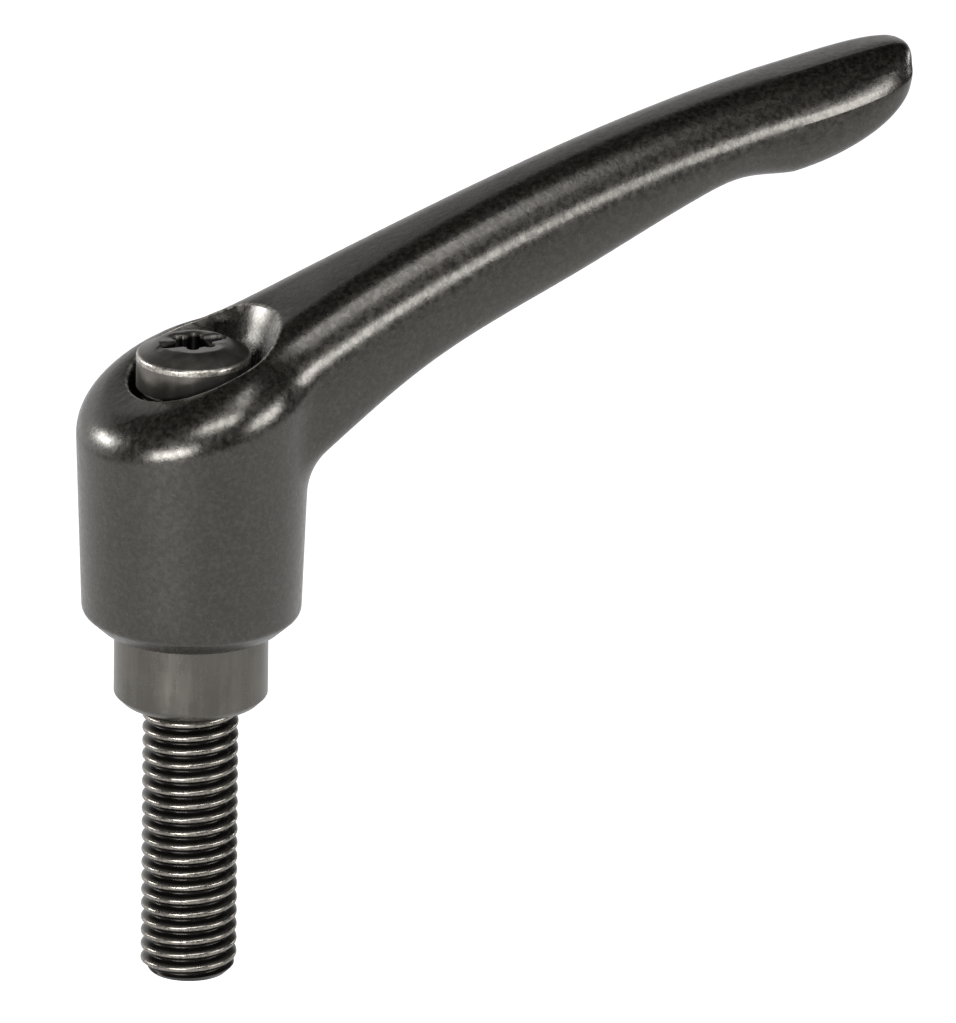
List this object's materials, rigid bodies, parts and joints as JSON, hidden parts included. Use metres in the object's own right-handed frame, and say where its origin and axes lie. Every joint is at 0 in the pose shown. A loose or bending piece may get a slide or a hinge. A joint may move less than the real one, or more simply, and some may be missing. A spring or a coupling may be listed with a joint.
{
  "type": "adjustable clamping lever",
  "caption": "Cranked clamping lever with a rounded arm, serrated lift-and-turn hub, spring-loaded retaining screw and a threaded stud below a plain collar.",
  "frame": {"origin": "centre of the collar's lower face, where the stud's axis leaves it", "axes": "+Z along the stud's axis towards the lever, +X the way the arm reaches, at rest"},
  "size_m": [0.0951, 0.0244, 0.0898],
  "materials": {
    "coated_zinc": "fine-grained satin black powder coat",
    "black_oxide_steel": "turned, black-oxidised, satin",
    "spring_steel": "drawn wire, bright"
  },
  "bodies": {
    "insert_assembly": {"threaded_insert": "black_oxide_steel", "retaining_screw": "black_oxide_steel"},
    "spring_foot": {"spring": "spring_steel"},
    "lever": {"handle": "coated_zinc"}
  },
  "joints": [
    {"name": "lever_lift", "type": "slide", "parent": "insert_assembly", "child": "spring_foot", "axis": [0, 0, 1], "range_m": [0, 0.0045], "stiffness_N_per_m": 4200, "springref_m": -0.0012, "deforming": ["spring"]},
    {"name": "lever_turn", "type": "hinge", "parent": "spring_foot", "child": "lever", "pos_m": [0, 0, 0.02], "axis": [0, 0, 1], "continuous": true}
  ]
}
